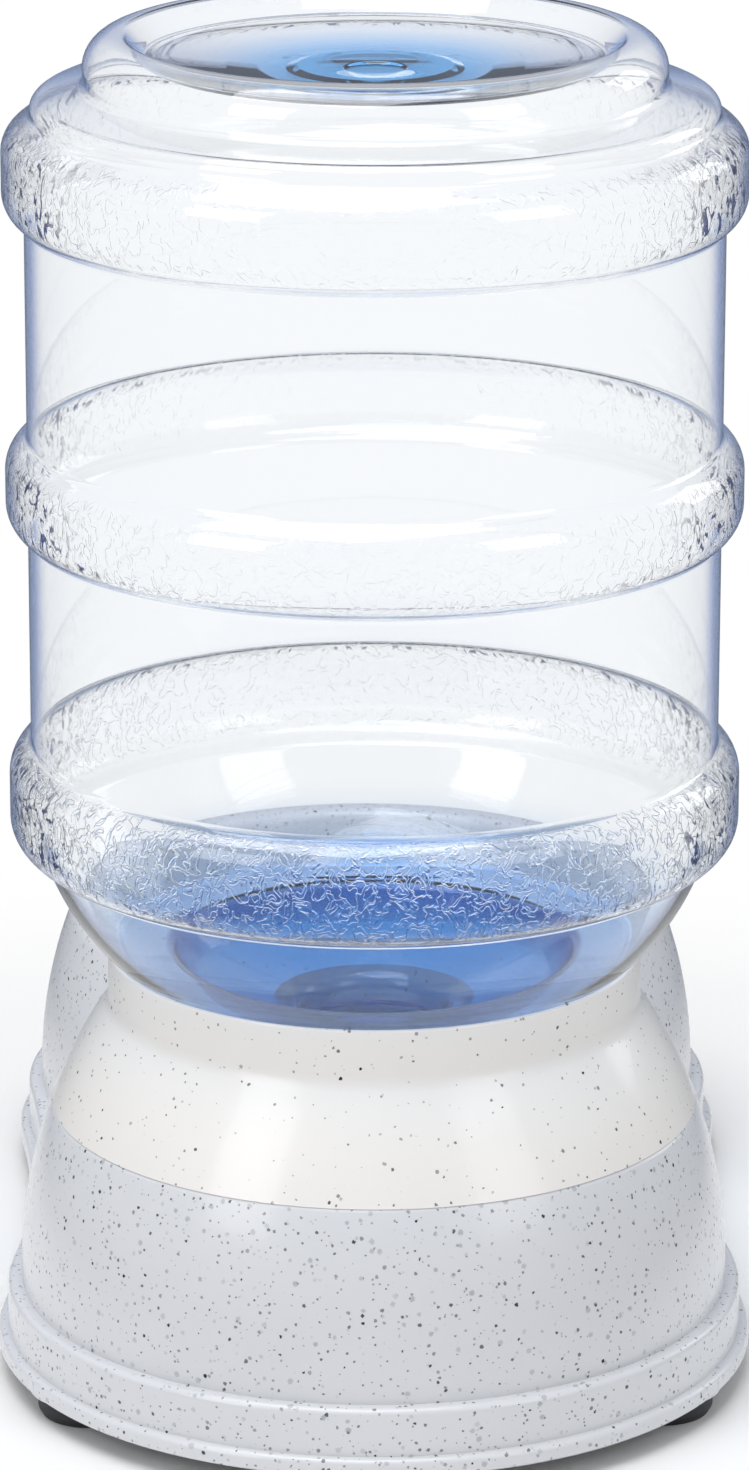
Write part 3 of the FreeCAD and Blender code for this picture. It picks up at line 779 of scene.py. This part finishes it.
def lowerCopy(nodeName, height):
    # The part of a CAD node below a height, its loose triangles merged and its cut closed. Faces
    # that the filling lays over open places are taken out again.
    cut = bmesh.new()
    cut.from_mesh(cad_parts[nodeName].data)
    bmesh.ops.remove_doubles(cut, verts=cut.verts, dist=1e-6)
    solid = BVHTree.FromBMesh(cut)
    everything = cut.verts[:] + cut.edges[:] + cut.faces[:]
    bmesh.ops.bisect_plane(cut, geom=everything, plane_co=(0, 0, height), plane_no=(0, 0, 1),
                           clear_outer=True)
    level = [face for face in cut.faces if min(spot.co.z for spot in face.verts) > height - 1e-6]
    bmesh.ops.delete(cut, geom=level, context="FACES")
    edges = [edge for edge in cut.edges if edge.is_boundary]
    filled = bmesh.ops.triangle_fill(cut, edges=edges, use_beauty=True)["geom"]
    below = Vector((0, 0, -0.05 * mm))
    stray = [part for part in filled if isinstance(part, bmesh.types.BMFace)
             and not isInside(solid, part.calc_center_median() + below)]
    bmesh.ops.delete(cut, geom=stray, context="FACES")
    mesh = bpy.data.meshes.new(nodeName + "Lower")
    cut.to_mesh(mesh)
    cut.free()
    return addObject(nodeName + "Lower", mesh)


hood = joined("bottleHood", [makeHood(), lowerCopy("hood", seam["height"] * mm)], sharpAngle=32)
paint(hood, hoodPlastic)
fit(hood, "dispenser", "hood_plastic", "hood")
print("hood ready,", len(hood.data.polygons), "faces")


# Base: rings of the two-lobed plan, from the basin's floor over the rim and round to its underside

baseShape = {
    "waistLow": 121.0,
    "waistHigh": 85.0,
    "bottom": 8.8,
    "bottomChamfer": 0.5,
    "lowerStep": (137.0, 129.5, 15.0),    # lobe radius, waist and top
    "upperStep": (133.4, 126.0, 32.3),
    "stepRound": 2.4,
    "rimHeight": 104.6,
    "rimWidth": 14.0,
    "rimOuterRound": 8.0,
    "rimInnerRound": 4.0,
    "basinFloor": 38.0,
    "basinDraft": 15.0,
    "basinRound": 18.0,
    "crown": 95.3,                        # top of the hollow inside the wall
    "ledgeGap": 0.4,
    "ledgeCut": 12.0,                     # how far up the cut for the hood's seat reaches
    "lobeSteps": 84,                      # along each lobe, and along each side of the waist
    "waistSteps": 20,
}
ringSteps = {                             # rings up each part of the base's section
    "basinRound": 12,
    "basin": 14,
    "rimInner": 6,
    "rimOuter": 16,
    "wall": 24,
    "flange": 7,
    "hollow": 12,
    "basinUnder": 10,
}


def wallAt(height):
    rise = height - wallCurve["height"]
    return wallCurve["radius"] - wallCurve["bulge"] + math.sqrt(wallCurve["bulge"] ** 2 - rise ** 2)


def waistAt(height):
    shape = baseShape
    share = max(0.0, (shape["rimHeight"] - height) / (shape["rimHeight"] - shape["upperStep"][2]))
    return shape["waistHigh"] + (shape["waistLow"] - shape["waistHigh"]) * share ** 2


def planRing(radius, waist, height):
    # Two lobes joined by hollow curves, as points in metres
    hollow = (waist ** 2 + lobeOffset ** 2 - radius ** 2) / (2 * (radius - waist))
    touch = math.atan2(lobeOffset, waist + hollow)
    ring = []
    for side in (-1, 1):
        steps = baseShape["lobeSteps"]
        sweep = math.pi + 2 * touch
        start = -touch if side > 0 else math.pi - touch
        for index in range(steps):
            turn = start + sweep * index / steps
            ring.append((radius * math.cos(turn), side * lobeOffset + radius * math.sin(turn)))
        steps = baseShape["waistSteps"]
        centre = -side * (waist + hollow)
        start = touch if side > 0 else math.pi + touch
        for index in range(steps):
            turn = start - 2 * touch * index / steps
            ring.append((centre + hollow * math.cos(turn), hollow * math.sin(turn)))
    return [(x * mm, y * mm, height * mm) for x, y in ring]


def roundLevels(centreHeight, radius, start, end, steps):
    # Heights on a rounding, from one angle to another in degrees
    turns = [math.radians(start + (end - start) * index / steps) for index in range(steps + 1)]
    return [(centreHeight + radius * math.sin(turn), radius * math.cos(turn)) for turn in turns]


def makeBaseRings():
    shape = baseShape
    wall = wallCurve["thickness"]
    rings = []
    rimHeight = shape["rimHeight"]
    floorHeight = shape["basinFloor"]
    slope = shape["basinDraft"] / (rimHeight - floorHeight)
    lean = math.atan(slope)
    rimInside = wallAt(rimHeight) - shape["rimWidth"]
    waistInside = shape["waistHigh"] - shape["rimWidth"]

    def basinAt(height, outset):
        narrow = (rimHeight - height) * slope
        return rimInside - narrow + outset, waistInside - narrow + outset

    def basinRings(outset, low, high, count):
        # From the floor's rounding up the drafted wall
        radius = shape["basinRound"] + outset
        centre = low + radius
        edge, waistEdge = basinAt(centre, outset)
        edge -= radius / math.cos(lean)
        waistEdge -= radius / math.cos(lean)
        found = []
        for height, reach in roundLevels(centre, radius, -90, math.degrees(-lean),
                                         ringSteps["basinRound"]):
            found.append((edge + reach, waistEdge + reach, height))
        last = found[-1][2]
        for index in range(1, count + 1):
            height = last + (high - last) * index / count
            found.append(basinAt(height, outset) + (height,))
        return found

    innerRound = shape["rimInnerRound"]
    centre = rimHeight - innerRound
    rings += basinRings(0, floorHeight, centre + innerRound * math.sin(lean), ringSteps["basin"])
    edge, waistEdge = basinAt(centre, 0)
    edge += innerRound / math.cos(lean)
    waistEdge += innerRound / math.cos(lean)
    levels = roundLevels(centre, innerRound, math.degrees(lean), 90, ringSteps["rimInner"])
    for height, reach in levels[1:]:
        rings.append((edge - reach, waistEdge - reach, height))

    # crest and outer rounding, tangent to the wall
    outerRound = shape["rimOuterRound"]
    bulge = wallCurve["bulge"]
    centre = rimHeight - outerRound
    middle = wallCurve["radius"] - bulge
    edge = middle + math.sqrt((bulge - outerRound) ** 2 - (centre - wallCurve["height"]) ** 2)
    touch = math.atan2(centre - wallCurve["height"], edge - middle)
    waistEdge = waistAt(centre) - outerRound
    for height, reach in roundLevels(centre, outerRound, 90, 0, ringSteps["rimOuter"]):
        lobe = edge + reach if height > centre + outerRound * math.sin(touch) else wallAt(height)
        rings.append((lobe, waistEdge + reach, height))
    upperRadius, upperWaist, upperTop = shape["upperStep"]
    for index in range(1, ringSteps["wall"] + 1):
        height = centre + (upperTop - centre) * index / ringSteps["wall"]
        rings.append((wallAt(height), waistAt(height), height))

    # the two steps of the flange
    stepRound = shape["stepRound"]
    for radius, waist, top in (shape["upperStep"], shape["lowerStep"]):
        for height, reach in roundLevels(top - stepRound, stepRound, 90, 0, ringSteps["flange"]):
            rings.append((radius - stepRound + reach, waist - stepRound + reach, height))
        if radius == upperRadius:
            rings.append((radius, waist, shape["lowerStep"][2]))
    bottom = shape["bottom"]
    chamfer = shape["bottomChamfer"]
    lowRadius, lowWaist = shape["lowerStep"][:2]
    rings += [(lowRadius, lowWaist, bottom + chamfer),
              (lowRadius - chamfer, lowWaist - chamfer, bottom)]

    # the hollow underneath
    skirt = (upperRadius - wall, upperWaist - wall)
    ceiling = upperTop - wall
    rings += [skirt + (bottom,), skirt + (ceiling,)]
    for index in range(ringSteps["hollow"] + 1):
        height = ceiling + (shape["crown"] - ceiling) * index / ringSteps["hollow"]
        rings.append((wallAt(height) - wall, waistAt(height) - wall, height))
    under = basinRings(wall, floorHeight - wall, shape["crown"], ringSteps["basinUnder"])
    return rings + list(reversed(under))


def ringMesh(name, rings):
    vertices = []
    for radius, waist, height in rings:
        vertices += planRing(radius, waist, height)
    around = len(vertices) // len(rings)
    faces = []
    for row in range(len(rings) - 1):
        for column in range(around):
            after = (column + 1) % around
            faces.append((row * around + column, row * around + after,
                          (row + 1) * around + after, (row + 1) * around + column))
    faces.append(tuple(range(around)))
    faces.append(tuple(range((len(rings) - 1) * around, len(rings) * around)))
    return newObject(name, vertices, [], faces)


def ledgeCutter():
    # The hood's seat is cut into the bottle's lobe, with its outer edge broken to show the seam
    height = seam["height"]
    chamfer = seam["chamfer"]
    edge = wallAt(height)
    gap = baseShape["ledgeGap"]
    top = height + baseShape["ledgeCut"]
    points = [(0, height), (edge - chamfer, height), (edge + gap, height - chamfer - gap),
              (edge + gap, top), (0, top)]
    return turned("ledgeCutter", points, basePlastic, segments=hoodShape["segments"])


baseShell = ringMesh("baseShell", makeBaseRings())
finishMesh(baseShell)
cutBy(baseShell, finishMesh(ledgeCutter()))


footShape = {
    "x": 102,
    "y": 54,                              # from the lobe's centre, away from the middle
    "radius": 19.0,
    "taper": 1.5,
    "round": 2.5,
    "soleRound": 0.6,
    "top": 11.2,
    "stud": 3.7,                          # radius of the socket's bore for the stud
    "socketWall": 2.6,
    "gap": 0.25,
}


def footSpots():
    return [(x, side * (lobeOffset + footShape["y"]))
            for side in (-1, 1) for x in (-footShape["x"], footShape["x"])]


def footSocket(name, x, y):
    shape = footShape
    inner = shape["radius"] + shape["gap"]
    outer = inner + shape["socketWall"]
    low = baseShape["bottom"]
    roof = shape["top"]
    top = roof + shape["socketWall"]
    stud = shape["stud"]
    points = [(stud, roof), (inner, roof), (inner, low), (outer, low), (outer, top), (stud, top),
              (stud, roof)]
    return turned(name, points, basePlastic, x, y, segments=48)


postShape = {
    "radius": 4.5,
    "low": baseShape["basinFloor"] - 1,   # a little inside the basin's floor
    "top": 80.2,
    "topRound": 0.4,
    "ribReach": 11.0,
    "ribHalf": 1.2,
    "ribTop": 68.2,
    "ribSlope": 8.8,
    "ribs": 4,
}


def makeAroundTree():
    # Copies of the object's mesh set evenly round an upright axis
    tree, given, result = newTree("setRound", "GeometryNodeTree", (
        ("Part", "NodeSocketGeometry", None),
        ("Count", "NodeSocketInt", 4),
        ("Centre Y", "NodeSocketFloat", 0.0),
        ("Material", "NodeSocketMaterial", None),
    ), (("Piece", "NodeSocketGeometry"),))
    count = given.outputs["Count"]
    spots = node(tree, "GeometryNodeMeshLine", {"Count": count, "Offset": (0, 0, 0)},
                 mode="OFFSET")
    turn = maths(tree, "DIVIDE", node(tree, "GeometryNodeInputIndex").outputs[0], count)
    turn = maths(tree, "MULTIPLY", turn, 2 * math.pi)
    facing = node(tree, "ShaderNodeCombineXYZ", {"Z": turn})
    copies = node(tree, "GeometryNodeInstanceOnPoints",
                  {"Points": spots.outputs[0], "Instance": given.outputs["Part"],
                   "Rotation": facing.outputs[0]})
    moved = node(tree, "ShaderNodeCombineXYZ", {"Y": given.outputs["Centre Y"]})
    placed = node(tree, "GeometryNodeTransform",
                  {"Geometry": copies.outputs[0], "Translation": moved.outputs[0]})
    return finishTree(tree, given, result, placed.outputs[0])


aroundTree = makeAroundTree()


def postRibs():
    # Thin webs that brace the valve's post, with sloping tops
    shape = postShape
    low = shape["low"]
    reach = shape["radius"] + shape["ribReach"]
    root = shape["radius"] / 2
    side = [(root, low), (reach, low), (reach, shape["ribTop"] - shape["ribSlope"]),
            (reach - shape["ribSlope"], shape["ribTop"]), (root, shape["ribTop"])]
    vertices = [(x * mm, half * shape["ribHalf"] * mm, z * mm) for half in (-1, 1) for x, z in side]
    size = len(side)
    faces = [tuple(range(size)), tuple(range(2 * size - 1, size - 1, -1))]
    for index in range(size):
        after = (index + 1) % size
        faces.append((after, index, size + index, size + after))
    rib = newObject("postRibs", vertices, [], faces)
    return shapedBy(aroundTree, rib, {"Count": shape["ribs"], "Centre Y": bottleY * mm,
                                      "Material": basePlastic})


def valvePost():
    shape = postShape
    corners = [(0, shape["low"], 0), (shape["radius"], shape["low"], 0),
               (shape["radius"], shape["top"], shape["topRound"]), (0, shape["top"], 0)]
    return turned("valvePost", roundedOutline(corners), basePlastic, segments=48)


post = valvePost()
sockets = [footSocket("footSocket", x, y) for x, y in footSpots()]
base = joined("bowlBase", [baseShell, post, postRibs()] + sockets, sharpAngle=32)
paint(base, basePlastic)
fit(base, "dispenser", "base_plastic", "bowl_base")
print("base ready,", len(base.data.polygons), "faces")


# Plain finishes: two shades in slow clouds, and a fine ripple

def plainFinish(name, colors, skinInputs, ripple=None, metallic=0.0):
    material, tree, spot, surface, output = newMaterial(name)
    skin = node(tree, "ShaderNodeGroup", {"Vector": spot, **skinInputs}, node_tree=cloudGroup)
    feed(tree, surface, {
        "Base Color": blendColor(tree, skin.outputs["Cloud"], *colors),
        "Roughness": skin.outputs["Roughness"],
        "Metallic": metallic,
    })
    if ripple is not None:
        feed(tree, surface, {"Normal": bump(tree, skin.outputs["Ripple"], *ripple)})
    feed(tree, output, {"Surface": surface.outputs[0]})
    return material


rubberSkin = {"Cloud Scale": 60.0, "Ripple Scale": 900.0, "Roughness": 0.62,
              "Roughness Spread": 0.15}
rubberRipple = (0.4, 0.0001)              # strength and depth
rubberColors = {
    "footRubber": ((0.012, 0.012, 0.013, 1), (0.03, 0.03, 0.032, 1)),
    "sealRubber": ((0.05, 0.05, 0.055, 1), (0.08, 0.08, 0.085, 1)),
}
footRubber, sealRubber = [plainFinish(name, colors, rubberSkin, rubberRipple)
                          for name, colors in rubberColors.items()]


# Rubber feet

def footPiece(name, x, y):
    shape = footShape
    radius = shape["radius"]
    points = roundedOutline([(0, 0, 0), (radius - shape["taper"], 0, shape["soleRound"]),
                             (radius, shape["round"], shape["round"]),
                             (radius, shape["top"], 0), (0, shape["top"], 0)], 1.0)
    return finishMesh(turned(name, points, footRubber, x, y, segments=64))


footNodes = ("foot_rear_left", "foot_rear_right", "foot_front_left", "foot_front_right")
for nodeName, (x, y) in zip(footNodes, footSpots()):
    pieceName = "rubber" + nodeName.title().replace("_", "")
    fit(footPiece(pieceName, x, y), "dispenser", "foot_rubber", nodeName)
print("feet ready")


# Cap, cage, gasket, plunger and seal keep their CAD shapes, merged and smoothed

plainSkin = {"Cloud Scale": 45.0, "Ripple Scale": 500.0}
plainRipple = (0.2, 0.00008)
plainPlastics = {
    # name: two shades, roughness
    "capPlastic": (((0.06, 0.17, 0.48, 1), (0.09, 0.22, 0.56, 1)), 0.38),
    "valvePlastic": (((0.70, 0.71, 0.70, 1), (0.78, 0.78, 0.76, 1)), 0.42),
}
capPlastic, valvePlastic = [
    plainFinish(name, colors, {**plainSkin, "Roughness": rough}, plainRipple)
    for name, (colors, rough) in plainPlastics.items()]

smoothedNodes = (
    ("bottle_cap", "screwCap", "dispenser", "cap_plastic", capPlastic),
    ("spring_retainer", "springCage", "dispenser", "valve_plastic", valvePlastic),
    ("cap_gasket", "capGasket", "dispenser", "seal_rubber", sealRubber),
    ("valve_plunger", "valvePlunger", "valve", "valve_plastic", valvePlastic),
    ("valve_seal", "valveSeal", "valve", "seal_rubber", sealRubber),
)
for nodeName, pieceName, body, slotName, material in smoothedNodes:
    piece = addObject(pieceName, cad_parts[nodeName].data.copy())
    finishMesh(piece, sharpAngle=30)
    paint(piece, material)
    fit(piece, body, slotName, nodeName)
print("cap and valve ready")


# Valve spring

springShape = {
    "radius": 6.4,
    "wire": 0.6,
    "turns": 4.5,
    "low": 97.7,
    "high": 115.5,
    "stepsPerTurn": 32,
    "sides": 10,                          # of the wire's section
}
springSkin = {"Cloud Scale": 120.0, "Ripple Scale": 1500.0, "Roughness": 0.3}
springSteel = plainFinish("springSteel", ((0.50, 0.50, 0.52, 1), (0.62, 0.62, 0.64, 1)), springSkin,
                          metallic=1.0)


def makeSpringTree():
    # A wire wound round an upright axis
    tree, given, result = newTree("woundSpring", "GeometryNodeTree", (
        ("Start", "NodeSocketGeometry", None),
        ("Radius", "NodeSocketFloat", 0.0064),
        ("Wire", "NodeSocketFloat", 0.0006),
        ("Turns", "NodeSocketFloat", 4.5),
        ("Low", "NodeSocketFloat", 0.0),
        ("Height", "NodeSocketFloat", 0.02),
        ("Centre Y", "NodeSocketFloat", 0.0),
        ("Steps", "NodeSocketInt", 32),
        ("Material", "NodeSocketMaterial", None),
    ), (("Piece", "NodeSocketGeometry"),))
    radius = given.outputs["Radius"]
    coil = node(tree, "GeometryNodeCurveSpiral",
                {"Resolution": given.outputs["Steps"], "Rotations": given.outputs["Turns"],
                 "Start Radius": radius, "End Radius": radius, "Height": given.outputs["Height"]})
    section = node(tree, "GeometryNodeCurvePrimitiveCircle",
                   {"Resolution": springShape["sides"], "Radius": given.outputs["Wire"]},
                   mode="RADIUS")
    wire = node(tree, "GeometryNodeCurveToMesh",
                {"Curve": coil.outputs[0], "Profile Curve": section.outputs[0], "Fill Caps": True})
    moved = node(tree, "ShaderNodeCombineXYZ",
                 {"Y": given.outputs["Centre Y"], "Z": given.outputs["Low"]})
    placed = node(tree, "GeometryNodeTransform",
                  {"Geometry": wire.outputs[0], "Translation": moved.outputs[0]})
    return finishTree(tree, given, result, placed.outputs[0])


def makeSpring():
    shape = springShape
    spring = newObject("valveSpring", [(0, 0, 0)], [], [])
    shapedBy(makeSpringTree(), spring, {
        "Radius": shape["radius"] * mm, "Wire": shape["wire"] * mm, "Turns": shape["turns"],
        "Low": shape["low"] * mm, "Height": (shape["high"] - shape["low"]) * mm,
        "Centre Y": bottleY * mm, "Steps": shape["stepsPerTurn"], "Material": springSteel})
    return finishMesh(spring, sharpAngle=60)


spring = makeSpring()
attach(spring, "dispenser")
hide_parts("valve_spring")
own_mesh(spring)
print("spring ready")


# Camera, lights, floor and background

view = {
    "turn": -0.8,             # degrees round the bottle, from straight behind it
    "distance": 2.276,        # along the floor, from the bottle's axis
    "height": 0.932,
    "pitch": 17.0,            # degrees down
    "roll": 0.08,
    "lens": 163.57,
    "sensor": 36,             # along the picture's long side
}


def addCamera():
    turn = math.radians(view["turn"])
    camera = addObject("camera", bpy.data.cameras.new("camera"))
    camera.data.sensor_width = view["sensor"]
    camera.data.lens = view["lens"]
    spot = Vector((view["distance"] * math.sin(turn),
                   bottleY * mm - view["distance"] * math.cos(turn), view["height"]))
    aim = (Matrix.Rotation(turn, 4, "Z") @ Matrix.Rotation(math.radians(90 - view["pitch"]), 4, "X")
           @ Matrix.Rotation(math.radians(view["roll"]), 4, "Z"))
    camera.matrix_world = Matrix.Translation(spot) @ aim
    scene.camera = camera


studio = {
    # name: place, target, width, height, power
    "leftBox": ((-1.5, -1.5, 1.1), (0, 0, 0.2), 0.9, 1.3, 9),
    "rightBox": ((1.5, -1.5, 1.1), (0, 0, 0.2), 0.9, 1.3, 6),
    "topBox": ((-0.3, -0.4, 2.2), (0, 0, 0.1), 1.6, 1.6, 32),
    "farBox": ((1.9, 1.1, 1.1), (0, 0, 0.2), 0.9, 1.1, 5),
}
background = {
    "ambient": 0.38,          # the room's light on the object
    "shown": 1.0,             # what the camera and clear plastic show
    "shownAbove": 0.45,       # what clear plastic shows overhead
    "shownRise": (0.04, 0.3),     # the upward share of a ray where the change begins and ends
    "glossLow": 0.26,         # what gloss shows near the horizon
    "glossHigh": 0.9,         # and overhead
    "glossRise": (-0.05, 0.55),
    "glossColor": (0.70, 0.79, 1.0, 1),
    "floorHalf": 4.0,         # half its side
    "floorColor": (0.93, 0.93, 0.93, 1),
    "floorRoughness": 0.6,
    "floorNear": 0.20,        # the floor keeps its shade inside this radius
    "floorFar": 0.48,
}
white = (1, 1, 1, 1)


def addLights():
    for name, (place, target, width, height, power) in studio.items():
        lamp = bpy.data.lights.new(name, "AREA")
        lamp.shape = "RECTANGLE"
        lamp.size = width
        lamp.size_y = height
        lamp.energy = power
        box = addObject(name, lamp)
        box.location = place
        box.rotation_euler = (Vector(target) - Vector(place)).to_track_quat("-Z", "Y").to_euler()


def raysThatShow(tree):
    # Three masks: rays from the camera, rays through clear plastic, and mirrored rays. Those
    # through clear plastic count as mirrored too.
    path = node(tree, "ShaderNodeLightPath")
    return (path.outputs["Is Camera Ray"], path.outputs["Is Transmission Ray"],
            path.outputs["Is Glossy Ray"])


def addWorld():
    world = bpy.data.worlds.new("studioRoom")
    scene.world = world
    world.use_nodes = True
    tree = world.node_tree
    tree.nodes.clear()
    direct, through, gloss = raysThatShow(tree)
    upward = node(tree, "ShaderNodeTexCoord").outputs["Generated"]
    upward = node(tree, "ShaderNodeSeparateXYZ", {0: upward}).outputs["Z"]
    mirrored = ramp(tree, upward, *background["glossRise"], background["glossLow"],
                    background["glossHigh"])
    strength = mixValues(tree, gloss, background["ambient"], mirrored)
    behind = ramp(tree, upward, *background["shownRise"], background["shown"],
                  background["shownAbove"])
    strength = mixValues(tree, through, strength, behind)
    strength = mixValues(tree, direct, strength, background["shown"])
    onlyGloss = maths(tree, "SUBTRACT", gloss, through, clamp=True)
    tint = blendColor(tree, onlyGloss, white, background["glossColor"])
    glow = node(tree, "ShaderNodeBackground", {"Color": tint, "Strength": strength})
    node(tree, "ShaderNodeOutputWorld", {"Surface": glow.outputs[0]})


def addFloor():
    # Pale floor that turns into the white background away from the object, and clear from below
    half = background["floorHalf"]
    corners = [(-half, -half, 0), (half, -half, 0), (half, half, 0), (-half, half, 0)]
    floor = newObject("floor", corners, [], [(0, 1, 2, 3)])
    material, tree, spot, surface, output = newMaterial("floorPaint")
    away = vectorMaths(tree, "LENGTH", spot)
    fade = ramp(tree, away, background["floorNear"], background["floorFar"])
    direct, through, gloss = raysThatShow(tree)
    share = maths(tree, "MULTIPLY", fade, maths(tree, "MAXIMUM", direct, gloss))
    direct = maths(tree, "MAXIMUM", direct, through)
    glow = mixValues(tree, direct, background["glossLow"], background["shown"])
    feed(tree, surface, {"Base Color": background["floorColor"],
                         "Roughness": background["floorRoughness"]})
    tint = blendColor(tree, direct, background["glossColor"], white)
    shine = node(tree, "ShaderNodeEmission", {"Color": tint, "Strength": glow})
    mixed = node(tree, "ShaderNodeMixShader",
                 {0: share, 1: surface.outputs[0], 2: shine.outputs[0]})
    under = node(tree, "ShaderNodeNewGeometry").outputs["Backfacing"]
    clear = node(tree, "ShaderNodeBsdfTransparent")
    mixed = node(tree, "ShaderNodeMixShader", {0: under, 1: mixed.outputs[0], 2: clear.outputs[0]})
    feed(tree, output, {"Surface": mixed.outputs[0]})
    paint(floor, material)


addCamera()
addLights()
addWorld()
addFloor()
scene.view_settings.view_transform = "Standard"
print("studio ready")
